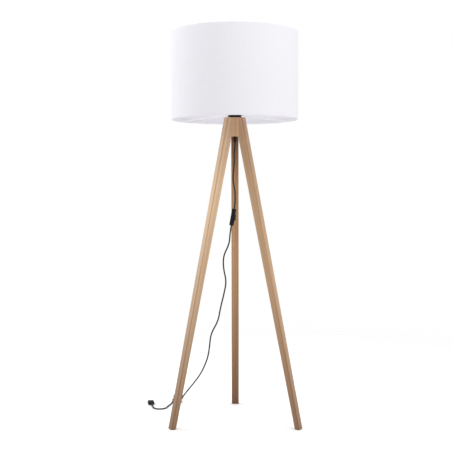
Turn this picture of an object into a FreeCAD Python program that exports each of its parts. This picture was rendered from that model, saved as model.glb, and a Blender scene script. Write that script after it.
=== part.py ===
"""Tripod floor lamp: three splayed wooden legs on a hexagonal block, a drum shade on a
threaded lampholder, and a free mains lead with a rocker switch in its line.

Millimetres, +Z up. The origin is on the floor, on the lamp's axis. The rear leg points
along +Y, and the front legs stand at 120 degrees to it. Each piece is one STEP file.
"""

import FreeCAD
import Part

import math
import os

V = FreeCAD.Vector
UP = V(0, 0, 1)

# ---------------------------------------------------------------- driving dimensions
SHADE_DIAMETER = 450.0
SHADE_HEIGHT = 309.5
HEAD_TOP = 1085.5  # top of the block and of the legs, above the floor
RIM_DROP = 8.0  # the shade's bottom rim hangs this far below the head's top

BLOCK_ACROSS_FLATS = 47.0
BLOCK_HEIGHT = 67.5
BLOCK_EDGE_ROUND = 1.0

LEG_WIDTH = 26.6
LEG_ON_BLOCK = 12.8  # what stands outside the block of a leg, at the head's top
LEG_TOP_DEPTH = 31.4  # the leg's section along the radius there, before it is cut to the block
LEG_FOOT_RADIUS = 262.3
LEG_FOOT_DEPTH = 17.8
LEG_EDGE_ROUND = 2.2
PAD_THICKNESS = 1.5
PAD_INSET = 3.0

DOWEL_RADIUS = 4.0
DOWEL_IN_BLOCK = 13.0
DOWEL_IN_LEG = 12.0
DOWEL_END_SPACE = 0.5
DOWEL_HEIGHTS = (0.26, 0.73)  # as shares of the block's height

NIPPLE_RADIUS = 5.0
NIPPLE_BORE = 4.0
NUT_ACROSS_FLATS = 14.0
NUT_THICKNESS = 3.0
WASHER_RADIUS = 10.5
WASHER_THICKNESS = 1.2
RECESS_RADIUS = 12.0  # for the nut and the bushing, in the block's underside
RECESS_DEPTH = 10.0

HOLDER_BASE_RIM = 4.25  # how far the cup stands out from the holder's body
HOLDER_BASE_HEIGHT = 8.0
HOLDER_FLOOR = 3.0
HOLDER_BODY_RADIUS = 19.5
HOLDER_BODY_WALL = 2.3
HOLDER_BODY_HEIGHT = 54.0
HOLDER_LIP = 5.5
INSERT_THICKNESS = 9.0
INSERT_LIFT = 11.5  # from the holder's floor up to the insert
SHELL_RADIUS = 13.4  # inside of the threaded brass shell
SHELL_WALL = 0.4
SHELL_HEIGHT = 24.0
TONGUE_RISE = 2.6

CAP_PLAY = 0.3  # between the bulb's threaded cap and the shell
CAP_WALL = 0.5
CAP_HEIGHT = 22.0
BULB_RADIUS = 30.0
BULB_LENGTH = 106.0
GLASS_WALL = 1.0

HUB_PLAY = 1.0  # the shade's carrier ring slips over the holder's body
HUB_WIDTH = 8.5
HUB_THICKNESS = 1.5
LOCK_RING_WIDTH = 8.5  # how far the ring stands out from the holder's body
LOCK_RING_HEIGHT = 10.0
WIRE_RADIUS = 1.75
SPOKE_RADIUS = 2.0
RIM_INSET = 0.75  # the wire rings sit this far inside the shade's rims
LINER_INSET = 2.5  # the liner ends at the middle of the wire rings
FABRIC_THICKNESS = 0.5
LINER_THICKNESS = 0.4

CORD_RADIUS = 2.6
CORD_BEND = 3.0  # tightest fold of the hank, in cord diameters
SWITCH_LENGTH = 61.0
SWITCH_WIDTH = 24.0
SWITCH_DEPTH = 15.5
SWITCH_WALL = 1.8
SWITCH_TILT = 10.0  # degrees, top towards +X
ROCKER_LENGTH = 21.0
ROCKER_WIDTH = 12.4
ROCKER_RISE = 4.2
ROCKER_THROW = 14.0  # degrees from off to on
PIVOT_RADIUS = 1.3
SCREW_ALONG = 24.5  # the switch's two screws, from its middle
SCREW_ACROSS = 5.5
CORD_IN_SWITCH = 9.0
CORD_LEAD_IN = 8.0  # the lead runs straight this far outside the switch

PLUG_LENGTH = 30.0
PLUG_WIDTH = 23.0
PLUG_DEPTH = 13.0
PLUG_RELIEF = 20.0
BLADE_LENGTH = 16.0
BLADE_WIDTH = 6.35
BLADE_THICKNESS = 1.5
BLADE_SPACING = 12.7
BLADE_HOLD = 8.0  # how deep the blades sit in the plug

# ---------------------------------------------------------------- clearances
TOUCH = 0.05  # pieces that are screwed, glued or pushed together
RUN = 0.08  # a piece that turns on another, radially
FREE = 0.3  # pieces that pass each other without touching

# ---------------------------------------------------------------- the lead's route
# From the boot to the switch, from the switch to the hank, and from the hank to the plug.
ROUTE_HEAD = 1085.5  # the height of the head's top that the hanging points' heights are for
BOOT_LENGTH = 22.2  # the tapered rubber boot below its flange
LEAD_DROP = 16.0  # the lead hangs straight this far out of the boot
UPPER_ROUTE = (
    (-3.5, 0.0, 957.0),
    (-1.5, 0.5, 925.0),
    (-8.5, 1.0, 868.0),
    (0.5, 1.0, 825.0),
    (0.5, 0.5, 790.0),
)
SWITCH_POINT = (-8.0, 0.0, 731.5)  # the switch's middle
LOWER_ROUTE = (
    (-18.0, 1.5, 670.0),
    (-21.0, 4.5, 634.0),
    (-42.5, 8.5, 592.0),
    (-42.0, 14.5, 545.0),
    (-31.0, 22.0, 500.0),
    (-40.5, 31.0, 452.0),
    (-54.0, 44.0, 398.0),
    (-62.0, 58.5, 350.0),
    (-90.0, 76.0, 300.0),
    (-95.0, 97.0, 248.0),
    (-103.0, 117.0, 200.0),
    (-128.0, 144.0, 140.0),
    (-163.0, 170.0, 90.0),
    (-196.0, 200.0, 46.0),
    (-210.5, 236.0, 18.0),
)
HANK_PLACE = V(-228.0, 312.0, 0)
HANK_RUN = 72.0  # straight part of the hank's sides
HANK_LAYERS = 2
HANK_WAIST = 10.8  # half the width where the tie draws the sides in
TIE_WIDTH = 10.0
TIE_THICKNESS = 1.0
TAIL_ROUTE = (  # the heights are above a lead that lies on the floor
    (-245.0, 250.0, 0.0),
    (-251.5, 218.0, 0.0),
    (-258.5, 191.0, 0.0),
    (-262.5, 166.0, 0.0),
    (-277.0, 151.5, 0.0),
    (-297.0, 151.5, 0.0),
    (-311.0, 166.0, 0.8),
)
PLUG_PLACE = V(-319.0, 204.0, PLUG_DEPTH / 2)
PLUG_TURN = 12.0  # degrees about +Z, from pointing along +Y
PLUG_LEAD_IN = 14.0  # the lead runs straight this far before the plug

# ---------------------------------------------------------------- sizes that follow
block_bottom = HEAD_TOP - BLOCK_HEIGHT
apothem = BLOCK_ACROSS_FLATS / 2
leg_top_radius = apothem + LEG_ON_BLOCK
leg_turns = (0.0, 120.0, 240.0)  # degrees from the rear leg, about +Z
leg_names = ("leg_rear", "leg_front_left", "leg_front_right")

holder_floor_top = HEAD_TOP + HOLDER_FLOOR
holder_shoulder = HEAD_TOP + HOLDER_BASE_HEIGHT
holder_top = holder_floor_top + TOUCH + HOLDER_BODY_HEIGHT
holder_base_radius = HOLDER_BODY_RADIUS + HOLDER_BASE_RIM
holder_body_bore = HOLDER_BODY_RADIUS - HOLDER_BODY_WALL
cap_radius = SHELL_RADIUS - CAP_PLAY
hub_bore = HOLDER_BODY_RADIUS + HUB_PLAY
hub_radius = hub_bore + HUB_WIDTH
lock_ring_radius = HOLDER_BODY_RADIUS + LOCK_RING_WIDTH
insert_bottom = holder_floor_top + INSERT_LIFT
insert_top = insert_bottom + INSERT_THICKNESS
bulb_bottom = insert_top + TONGUE_RISE + FREE
shade_bottom = HEAD_TOP - RIM_DROP
shade_top = shade_bottom + SHADE_HEIGHT
shade_radius = SHADE_DIAMETER / 2
liner_bore = shade_radius - FABRIC_THICKNESS - LINER_THICKNESS
rim_ring_radius = liner_bore - TOUCH - WIRE_RADIUS
recess_top = block_bottom + RECESS_DEPTH
nipple_bottom = recess_top - WASHER_THICKNESS - NUT_THICKNESS - 2 * TOUCH - 2.0
nipple_top = holder_floor_top + NUT_THICKNESS + 1.5
cord_end_inside = nipple_top + 0.5
cord_diameter = 2 * CORD_RADIUS
hank_half_width = CORD_BEND * cord_diameter
flange_low = nipple_bottom - 1.5
boot_low = flange_low - BOOT_LENGTH
terminal_offset = 9.0
terminal_hole = 1.4

made = []


def hanging(point):
    """A point of the hanging lead, whose height follows the height of the head."""
    return V(point[0], point[1], point[2] * HEAD_TOP / ROUTE_HEAD)


switch_place = hanging(SWITCH_POINT)


# ---------------------------------------------------------------- shaping helpers
def cylinder(radius, low, high, x=0.0, y=0.0):
    return Part.makeCylinder(radius, high - low, V(x, y, low))


def tube(outer, inner, low, high):
    return cylinder(outer, low, high).cut(cylinder(inner, low - 1, high + 1))


def block(x0, x1, y0, y1, z0, z1):
    return Part.makeBox(x1 - x0, y1 - y0, z1 - z0, V(x0, y0, z0))


def cone(low_radius, high_radius, low, high):
    return Part.makeCone(low_radius, high_radius, high - low, V(0, 0, low))


def hexagon(across_flats, low, high, first_corner=0.0):
    corner = across_flats / 2 / math.cos(math.pi / 6)
    angles = [math.radians(first_corner + 60 * i) for i in range(7)]
    ring = [V(corner * math.cos(a), corner * math.sin(a), low) for a in angles]
    return Part.Face(Part.makePolygon(ring)).extrude(V(0, 0, high - low))


def outline(points, place):
    """A flat face through points of two numbers each, which place turns into a vector."""
    ring = [place(*p) for p in points]
    return Part.Face(Part.makePolygon(ring + ring[:1]))


def spun(points):
    """A solid of revolution about the lamp's axis, from (radius, height) points."""
    face = outline(points, lambda r, z: V(r, 0, z))
    return face.revolve(V(0, 0, 0), UP, 360)


def joined(shapes):
    whole = shapes[0].multiFuse(list(shapes[1:])) if len(shapes) > 1 else shapes[0]
    return whole.removeSplitter()


def turned(shape, degrees, axis=UP, centre=V(0, 0, 0)):
    copy = shape.copy()
    copy.rotate(centre, axis, degrees)
    return copy


def turned_vector(vector, degrees):
    return FreeCAD.Rotation(UP, degrees).multVec(vector)


def moved(shape, by):
    copy = shape.copy()
    copy.translate(by)
    return copy


def save(name, *shapes):
    """Writes one node. Several shapes are a group of separate solids."""
    solids = [s for shape in shapes for s in shape.Solids]
    for solid in solids:
        if not solid.isValid() or solid.Volume <= 0:
            raise ValueError(name + " has a solid that is not valid")
    whole = solids[0] if len(solids) == 1 else Part.makeCompound(solids)
    whole.exportStep(os.path.join("parts", name + ".step"))
    made.append(name)


def corners_of(points):
    """The arc radius at each inner point of a route: as large as its two runs allow."""
    radii = []
    for before, here, after in zip(points, points[1:], points[2:]):
        back, on = before - here, after - here
        half_turn = (math.pi - back.getAngle(on)) / 2
        radii.append(0.45 * min(back.Length, on.Length) / math.tan(half_turn))
    return radii


def routed(name, points, radius):
    """A round tube along straight runs joined by tangent arcs."""
    edges, start = [], points[0]
    radii = corners_of(points)
    for i, here in enumerate(points[1:-1]):
        back = (points[i] - here).normalize()
        on = (points[i + 2] - here).normalize()
        half_turn = (math.pi - back.getAngle(on)) / 2
        reach = radii[i] * math.tan(half_turn)
        middle = (back + on).normalize() * (radii[i] / math.cos(half_turn) - radii[i])
        first, last = here + back * reach, here + on * reach
        edges.append(Part.LineSegment(start, first).toShape())
        edges.append(Part.Arc(first, here + middle, last).toShape())
        start = last
    edges.append(Part.LineSegment(start, points[-1]).toShape())
    path = Part.Wire(edges)
    section = Part.Wire(Part.makeCircle(radius, points[0], points[1] - points[0]))
    solid = path.makePipeShell([section], True, False, 2)
    expected = math.pi * radius**2 * path.Length
    runs = [(b - a).Length for a, b in zip(points, points[1:])]
    print(f"{name}: {path.Length:.0f} mm, radii {[round(r) for r in radii]}")
    print(f"  runs {[round(r) for r in runs]}, volume / expected {solid.Volume / expected:.4f}")
    return solid, path.Length


# ---------------------------------------------------------------- the wooden tripod
def leg_profile():
    """The leg's side face: slanted outside and inside, upright against the block."""

    def between(foot, top, z):
        return foot + (top - foot) * z / HEAD_TOP

    inner_foot = LEG_FOOT_RADIUS - LEG_FOOT_DEPTH
    inner_top = leg_top_radius - LEG_TOP_DEPTH
    meets_block = HEAD_TOP * (inner_foot - apothem) / (inner_foot - inner_top)
    low = PAD_THICKNESS
    return (
        (between(inner_foot, inner_top, low), low),
        (between(LEG_FOOT_RADIUS, leg_top_radius, low), low),
        (leg_top_radius, HEAD_TOP),
        (apothem, HEAD_TOP),
        (apothem, meets_block),
    )


def long_slanted_edges(solid):
    """The leg's long corner edges, which are eased by hand."""
    return [e for e in solid.Edges if e.Length > HEAD_TOP / 2]


def dowel_axes():
    return [block_bottom + share * BLOCK_HEIGHT for share in DOWEL_HEIGHTS]


def dowel(height, extra_radius=0.0, extra_length=0.0):
    start = apothem - DOWEL_IN_BLOCK - extra_length
    length = DOWEL_IN_BLOCK + DOWEL_IN_LEG + 2 * extra_length
    return Part.makeCylinder(DOWEL_RADIUS + extra_radius, length, V(0, start, height), V(0, 1, 0))


def make_tripod():
    half = LEG_WIDTH / 2
    leg = outline(leg_profile(), lambda r, z: V(-half, r, z)).extrude(V(LEG_WIDTH, 0, 0))
    leg = leg.makeFillet(LEG_EDGE_ROUND, long_slanted_edges(leg))
    holes = [dowel(z, TOUCH, DOWEL_END_SPACE) for z in dowel_axes()]
    leg = leg.cut(Part.makeCompound(holes))

    head = hexagon(BLOCK_ACROSS_FLATS, block_bottom, HEAD_TOP)
    low_edges = [e for e in head.Edges if e.BoundBox.ZMax < block_bottom + 0.01]
    head = head.makeFillet(BLOCK_EDGE_ROUND, [e for e in low_edges if not under_leg_face(e)])
    head = head.cut(cylinder(NIPPLE_RADIUS + 0.2, block_bottom - 1, HEAD_TOP + 1))
    head = head.cut(cylinder(RECESS_RADIUS, block_bottom - 1, recess_top))
    for turn in leg_turns:
        head = head.cut(turned(Part.makeCompound(holes), turn))
    save("head_block", head)

    pins = [dowel(z) for z in dowel_axes()]
    save("leg_dowels", *[turned(pin, turn) for turn in leg_turns for pin in pins])
    for name, turn in zip(leg_names, leg_turns):
        save(name, turned(leg, turn))

    inner = leg_profile()[0][0] + PAD_INSET
    outer = leg_profile()[1][0] - PAD_INSET
    pad = block(-half + PAD_INSET, half - PAD_INSET, inner, outer, 0, PAD_THICKNESS)
    save("foot_pads", *[turned(pad, turn) for turn in leg_turns])


def under_leg_face(edge):
    """Whether a bottom edge of the block lies under one of its three leg faces."""
    middle = edge.CenterOfMass
    degrees = math.degrees(math.atan2(middle.y, middle.x)) % 120
    return abs(degrees - 90) < 20


# ---------------------------------------------------------------- clamping rod and lampholder
def nut(low):
    return hexagon(NUT_ACROSS_FLATS, low, low + NUT_THICKNESS).cut(
        cylinder(NIPPLE_RADIUS + TOUCH, low - 1, low + NUT_THICKNESS + 1)
    )


def make_holder():
    save("threaded_nipple", tube(NIPPLE_RADIUS, NIPPLE_BORE, nipple_bottom, nipple_top))
    washer_low = recess_top - WASHER_THICKNESS
    save("nipple_washer", tube(WASHER_RADIUS, NIPPLE_RADIUS + 0.2, washer_low, recess_top))
    save("nipple_nuts", nut(washer_low - NUT_THICKNESS), nut(holder_floor_top))

    base = cylinder(holder_base_radius, HEAD_TOP, holder_shoulder)
    base = base.makeFillet(0.6, [e for e in base.Edges if e.BoundBox.ZMin > holder_shoulder - 0.1])
    base = base.cut(cylinder(NIPPLE_RADIUS + 0.1, HEAD_TOP - 1, holder_shoulder))
    base = base.cut(cylinder(HOLDER_BODY_RADIUS + TOUCH, holder_floor_top, holder_shoulder + 1))
    save("lampholder_base", base)

    low = holder_floor_top + TOUCH
    body = tube(HOLDER_BODY_RADIUS, holder_body_bore, low, holder_top - HOLDER_LIP)
    lip_bore = SHELL_RADIUS + SHELL_WALL + 0.2
    lip = tube(HOLDER_BODY_RADIUS, lip_bore, holder_top - HOLDER_LIP, holder_top)
    body = joined([body, lip])
    rim = [e for e in body.Edges if e.BoundBox.ZMin > holder_top - 0.1]
    save("lampholder_body", body.makeFillet(0.8, rim))

    insert = cylinder(holder_body_bore - TOUCH, insert_bottom, insert_top)
    for side in (-1, 1):
        x = side * terminal_offset
        insert = insert.cut(cylinder(terminal_hole, insert_bottom - 1, insert_top - 4, x))
    save("lampholder_insert", insert)
    shell = tube(SHELL_RADIUS + SHELL_WALL, SHELL_RADIUS, insert_top, insert_top + SHELL_HEIGHT)
    save("screw_shell", shell)

    tongue = outline(
        (
            (-9.0, insert_top),
            (3.0, insert_top),
            (3.0, insert_top + 0.4),
            (-5.5, insert_top + 0.4),
            (2.5, insert_top + TONGUE_RISE - 0.4),
            (4.5, insert_top + TONGUE_RISE - 0.4),
            (4.5, insert_top + TONGUE_RISE),
            (2.2, insert_top + TONGUE_RISE),
            (-9.0, insert_top + 0.4),
        ),
        lambda x, z: V(x, -2.5, z),
    ).extrude(V(0, 5, 0))
    save("centre_contact", tongue)


def make_lock_ring():
    low = holder_shoulder + HUB_THICKNESS + FREE
    bore = HOLDER_BODY_RADIUS + RUN
    ring = tube(lock_ring_radius, bore, low, low + LOCK_RING_HEIGHT)
    rims = [e for e in ring.Edges if e.BoundBox.XMax > lock_ring_radius - 0.1 and e.Closed]
    ring = ring.makeFillet(1.0, rims)
    notch = cylinder(1.5, low - 1, low + LOCK_RING_HEIGHT + 1, lock_ring_radius + 0.4)
    for i in range(24):
        ring = ring.cut(turned(notch, i * 15))
    save("shade_lock_ring", ring)


# ---------------------------------------------------------------- bulb
def glass_profile(wall):
    """Half outline of the bulb's envelope, drawn in by wall: a neck, a cone and a ball."""
    radius, neck = BULB_RADIUS - wall, cap_radius - CAP_WALL - 0.1 - wall
    centre = bulb_bottom + BULB_LENGTH - BULB_RADIUS
    neck_low, neck_high = bulb_bottom + 20.0, bulb_bottom + 31.0
    away = math.hypot(neck, centre - neck_high)
    angle = -math.atan2(centre - neck_high, neck) + math.acos(radius / away)
    tangent = V(radius * math.cos(angle), 0, centre + radius * math.sin(angle))
    mid = (angle + math.pi / 2) / 2
    arc = Part.Arc(
        tangent,
        V(radius * math.cos(mid), 0, centre + radius * math.sin(mid)),
        V(0, 0, centre + radius),
    )
    corners = [
        V(0, 0, centre + radius),
        V(0, 0, neck_low),
        V(neck, 0, neck_low),
        V(neck, 0, neck_high),
        tangent,
    ]
    lines = [Part.LineSegment(a, b).toShape() for a, b in zip(corners, corners[1:])]
    return Part.Face(Part.Wire([*lines, arc.toShape()]))


def make_bulb():
    tip = spun(
        (
            (0, bulb_bottom),
            (2.5, bulb_bottom),
            (4.8, bulb_bottom + 1.2),
            (4.8, bulb_bottom + 2.0),
            (0, bulb_bottom + 2.0),
        )
    )
    save("bulb_contact", tip)
    low = bulb_bottom + 2.0
    save("bulb_insulator", cone(5.5, cap_radius - 1.0, low, low + 4.0))
    low += 4.0
    inner = cap_radius - CAP_WALL
    cap = cylinder(cap_radius, low, low + CAP_HEIGHT)
    cap = cap.cut(cylinder(inner, low + CAP_WALL, low + CAP_HEIGHT + 1))
    save("bulb_cap", cap)

    outer = glass_profile(0.0).revolve(V(0, 0, 0), UP, 360)
    hollow = glass_profile(GLASS_WALL).revolve(V(0, 0, 0), UP, 360)
    save("bulb_glass", outer.cut(hollow))
    post_low = low + CAP_WALL
    shoulder = post_low + 12.0
    post = joined([cylinder(8.0, post_low, shoulder), cone(4.0, 2.0, shoulder, shoulder + 28.0)])
    save("bulb_post", post)


# ---------------------------------------------------------------- shade
def make_shade():
    fabric = tube(shade_radius, shade_radius - FABRIC_THICKNESS, shade_bottom, shade_top)
    save("shade_fabric", fabric)
    liner_outer = shade_radius - FABRIC_THICKNESS
    liner_low, liner_high = shade_bottom + LINER_INSET, shade_top - LINER_INSET
    save("shade_liner", tube(liner_outer, liner_bore, liner_low, liner_high))

    ring_low = shade_bottom + RIM_INSET + WIRE_RADIUS
    ring_high = shade_top - RIM_INSET - WIRE_RADIUS
    save("shade_top_ring", Part.makeTorus(rim_ring_radius, WIRE_RADIUS, V(0, 0, ring_high)))

    hub_low = holder_shoulder
    hub = tube(hub_radius, hub_bore, hub_low, hub_low + HUB_THICKNESS)
    spoke_end = V(0, hub_radius - 1.0 + SPOKE_RADIUS, hub_low + HUB_THICKNESS / 2)
    rim_end = V(0, rim_ring_radius, ring_low)
    along = rim_end - spoke_end
    spoke = Part.makeCylinder(SPOKE_RADIUS, along.Length, spoke_end, along)
    saddle = Part.makeSphere(SPOKE_RADIUS, spoke_end)
    ring = Part.makeTorus(rim_ring_radius, WIRE_RADIUS, V(0, 0, ring_low))
    arms = [turned(s, 60 + turn) for turn in leg_turns for s in (spoke, saddle)]
    trim = tube(shade_radius * 2, liner_bore - TOUCH, ring_low - 20, ring_low + 40)
    save("shade_bottom_frame", joined([hub, ring, *arms]).cut(trim))


# ---------------------------------------------------------------- the lead in the block
def make_inner_lead():
    boot = joined(
        [
            cylinder(9.0, flange_low, nipple_bottom + 1.8),
            cone(CORD_RADIUS + 1.0, 6.5, boot_low, flange_low),
        ]
    )
    boot = boot.cut(cylinder(NIPPLE_RADIUS + TOUCH, nipple_bottom, nipple_bottom + 3))
    boot = boot.cut(cylinder(CORD_RADIUS + TOUCH, boot_low - 1, nipple_bottom + 3))
    save("cord_bushing", boot)
    save("cord_inner", cylinder(CORD_RADIUS, boot_low, cord_end_inside))

    wires = []
    for side in (-1, 1):
        x = side * terminal_offset
        points = [
            V(side * 1.4, 0, cord_end_inside),
            V(side * 1.4, 0, cord_end_inside + 2.0),
            V(x, 0, insert_bottom - 2.0),
            V(x, 0, insert_top - 4.5),
        ]
        wires.append(routed("lead_wire", points, 1.1)[0])
    save("lead_wires", *wires)


# ---------------------------------------------------------------- the rocker switch in the line
def switch_frame(shape):
    """From the switch's own frame (long axis Z, rocker towards +X) to its place."""
    copy = shape.copy()
    copy.rotate(V(0, 0, 0), V(0, 1, 0), SWITCH_TILT)
    copy.translate(switch_place)
    return copy


def in_switch_frame(x, y, z):
    tilt = math.radians(SWITCH_TILT)
    turned_x = x * math.cos(tilt) + z * math.sin(tilt)
    turned_z = z * math.cos(tilt) - x * math.sin(tilt)
    return switch_place + V(turned_x, y, turned_z)


def switch_half(side):
    """One half shell, hollow, with rounded ends. side is 1 towards the rocker."""
    half_length, half_width = SWITCH_LENGTH / 2, SWITCH_WIDTH / 2
    depth = SWITCH_DEPTH / 2
    end = 9.0  # how far the ends are drawn in
    ring = (
        (-half_length, -half_width + 5.0),
        (-half_length + end, -half_width),
        (half_length - end, -half_width),
        (half_length, -half_width + 5.0),
        (half_length, half_width - 5.0),
        (half_length - end, half_width),
        (-half_length + end, half_width),
        (-half_length, half_width - 5.0),
    )
    shell = outline(ring, lambda z, y: V(0, y, z)).extrude(V(side * depth, 0, 0))
    upright = [e for e in shell.Edges if abs(e.BoundBox.XLength - depth) < 0.01]
    shell = shell.makeFillet(3.5, upright)
    face = [e for e in shell.Edges if abs(abs(e.CenterOfMass.x) - depth) < 0.01]
    shell = shell.makeFillet(2.5, face)
    inner = SWITCH_WALL
    hollow = block(
        min(0, side * (depth - inner)),
        max(0, side * (depth - inner)),
        -half_width + 2 * inner,
        half_width - 2 * inner,
        -half_length + end,
        half_length - end,
    )
    return shell.cut(hollow)


def make_switch():
    depth = SWITCH_DEPTH / 2
    pivot_x = depth - 2.2
    swing = ROCKER_LENGTH / 2
    half_rocker = ROCKER_WIDTH / 2
    half_gap = half_rocker + FREE
    lug = 2.4

    cord_hole = CORD_RADIUS + TOUCH
    channel = Part.makeCylinder(cord_hole, SWITCH_LENGTH + 4, V(0, 0, -SWITCH_LENGTH / 2 - 2), UP)
    back = switch_half(-1).cut(channel)
    front = switch_half(1).cut(channel)
    opening = swing + FREE + 0.05
    front = front.cut(block(0, depth + 1, -half_gap, half_gap, -opening, opening))
    lugs = [
        block(1.2, depth - SWITCH_WALL + 0.2, y, y + lug, -4.0, 4.0)
        for y in (half_gap, -half_gap - lug)
    ]
    front = joined([front, *lugs])
    bore = Part.makeCylinder(PIVOT_RADIUS + RUN, 40, V(pivot_x, -20, 0), V(0, 1, 0))
    reach = half_gap + lug
    bore = bore.common(block(0, 20, -reach - 0.1, reach + 0.1, -5, 5))
    front = front.cut(bore)

    top = depth + ROCKER_RISE - pivot_x
    valley = top - 1.6
    rim = math.sqrt(swing**2 - top**2) if swing > top else 0.0
    side = Part.Wire(
        [
            Part.LineSegment(V(pivot_x + valley, 0, 0), V(pivot_x + top, 0, rim)).toShape(),
            Part.Arc(
                V(pivot_x + top, 0, rim),
                V(pivot_x + swing * 0.3, 0, swing * math.sqrt(1 - 0.09)),
                V(pivot_x, 0, swing),
            ).toShape(),
            Part.LineSegment(V(pivot_x, 0, swing), V(pivot_x - 2.2, 0, 5.0)).toShape(),
            Part.LineSegment(V(pivot_x - 2.2, 0, 5.0), V(pivot_x - 2.2, 0, -5.0)).toShape(),
            Part.LineSegment(V(pivot_x - 2.2, 0, -5.0), V(pivot_x, 0, -swing)).toShape(),
            Part.Arc(
                V(pivot_x, 0, -swing),
                V(pivot_x + swing * 0.3, 0, -swing * math.sqrt(1 - 0.09)),
                V(pivot_x + top, 0, -rim),
            ).toShape(),
            Part.LineSegment(V(pivot_x + top, 0, -rim), V(pivot_x + valley, 0, 0)).toShape(),
        ]
    )
    rocker = Part.Face(side).extrude(V(0, ROCKER_WIDTH, 0))
    rocker.translate(V(0, -half_rocker, 0))
    pin = reach - 0.2
    pins = Part.makeCylinder(PIVOT_RADIUS, 2 * pin, V(pivot_x, -pin, 0), V(0, 1, 0))
    nub = block(-2.6, pivot_x - 2.0, -1.0, 1.0, -1.0, 1.0)
    rocker = joined([rocker, pins, nub])
    rocker = turned(rocker, -ROCKER_THROW / 2, V(0, 1, 0), V(pivot_x, 0, 0))

    fixed = [block(-5.0, -4.4, -3.0, 3.0, z - 4, z + 4) for z in (-15.0, 15.0)]
    posts = [block(-depth + SWITCH_WALL, -5.0, -2.0, 2.0, z - 2, z + 2) for z in (-15.0, 15.0)]
    terminals = [joined([f, p]) for f, p in zip(fixed, posts)]
    blade = block(-3.6, -3.1, -2.5, 2.5, -14.0, 14.0)
    blade = joined([blade, block(-depth + SWITCH_WALL, -3.6, -1.5, 1.5, -2.0, 2.0)])

    screws = []
    for z in (-1, 1):
        place = V(-depth, z * SCREW_ACROSS, z * SCREW_ALONG)
        head = Part.makeCylinder(2.2, 1.6, place, V(1, 0, 0))
        shank = Part.makeCylinder(1.1, 2 * depth - 3.0, place, V(1, 0, 0))
        screws.append(joined([head, shank]))
    back, front = (half.cut(Part.makeCompound(screws)) for half in (back, front))
    save("switch_screws", *[switch_frame(screw) for screw in screws])
    save("switch_back", switch_frame(back))
    save("switch_front", switch_frame(front))
    save("switch_rocker", switch_frame(rocker))
    save("switch_terminals", *[switch_frame(t) for t in terminals])
    save("switch_blade", switch_frame(blade))
    pivot = in_switch_frame(pivot_x, 0, 0)
    print("rocker pivot", [round(v, 3) for v in pivot])


# ---------------------------------------------------------------- the free lead
def make_cord():
    upper = [V(0, 0, boot_low), V(0, 0, boot_low - LEAD_DROP), *map(hanging, UPPER_ROUTE)]
    outside, inside = SWITCH_LENGTH / 2 + CORD_LEAD_IN, SWITCH_LENGTH / 2 - CORD_IN_SWITCH
    upper += [in_switch_frame(0, 0, outside), in_switch_frame(0, 0, inside)]
    total = 0.0
    solid, length = routed("cord_upper", upper, CORD_RADIUS)
    save("cord_upper", solid)
    total += length

    side = hank_half_width
    layer = cord_diameter
    enter = HANK_PLACE + V(side, -HANK_RUN / 2, CORD_RADIUS + (HANK_LAYERS - 1) * layer)
    leave = HANK_PLACE + V(-side, -HANK_RUN / 2, CORD_RADIUS)
    lower = [in_switch_frame(0, 0, -inside), in_switch_frame(0, 0, -outside)]
    lower += [*map(hanging, LOWER_ROUTE), enter]
    solid, length = routed("cord_lower", lower, CORD_RADIUS)
    save("cord_lower", solid)
    total += length

    save("cord_hank", moved(make_hank(), HANK_PLACE))
    tie = hank_section(0.0, TIE_WIDTH).cut(hank_section(TOUCH - TIE_THICKNESS, TIE_WIDTH + 2))
    save("hank_tie", moved(tie, HANK_PLACE))
    total += 2 * HANK_LAYERS * HANK_RUN + (2 * HANK_LAYERS - 1) * math.pi * side

    lead_in = PLUG_PLACE - turned_vector(V(0, PLUG_LEAD_IN, 0), PLUG_TURN)
    tail = [leave, *[V(*p) + V(0, 0, CORD_RADIUS) for p in TAIL_ROUTE], lead_in, PLUG_PLACE]
    solid, length = routed("cord_tail", tail, CORD_RADIUS)
    save("cord_tail", solid)
    total += length
    print(f"lead from the bushing to the plug: {total:.0f} mm")


def hank_section(grow, length):
    """A box round the hank's waist, from the floor up, grown outwards on all four sides."""
    height = HANK_LAYERS * cord_diameter
    half = HANK_WAIST
    return block(-half - grow, half + grow, -length / 2, length / 2, -grow, height + grow)


def make_hank():
    """The outer shape of the folded cord: two round ends and sides drawn in by the tie."""
    height = HANK_LAYERS * cord_diameter
    half, run = hank_half_width + CORD_RADIUS, HANK_RUN / 2
    ends = [cylinder(half, 0, height, 0, y) for y in (-run, run)]
    body = joined([block(-HANK_WAIST, HANK_WAIST, -run, run, 0, height), *ends])
    groove = hank_section(1.0, TIE_WIDTH + 2 * TOUCH).cut(
        hank_section(-TIE_THICKNESS, TIE_WIDTH + 4)
    )
    return body.cut(groove)


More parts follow.
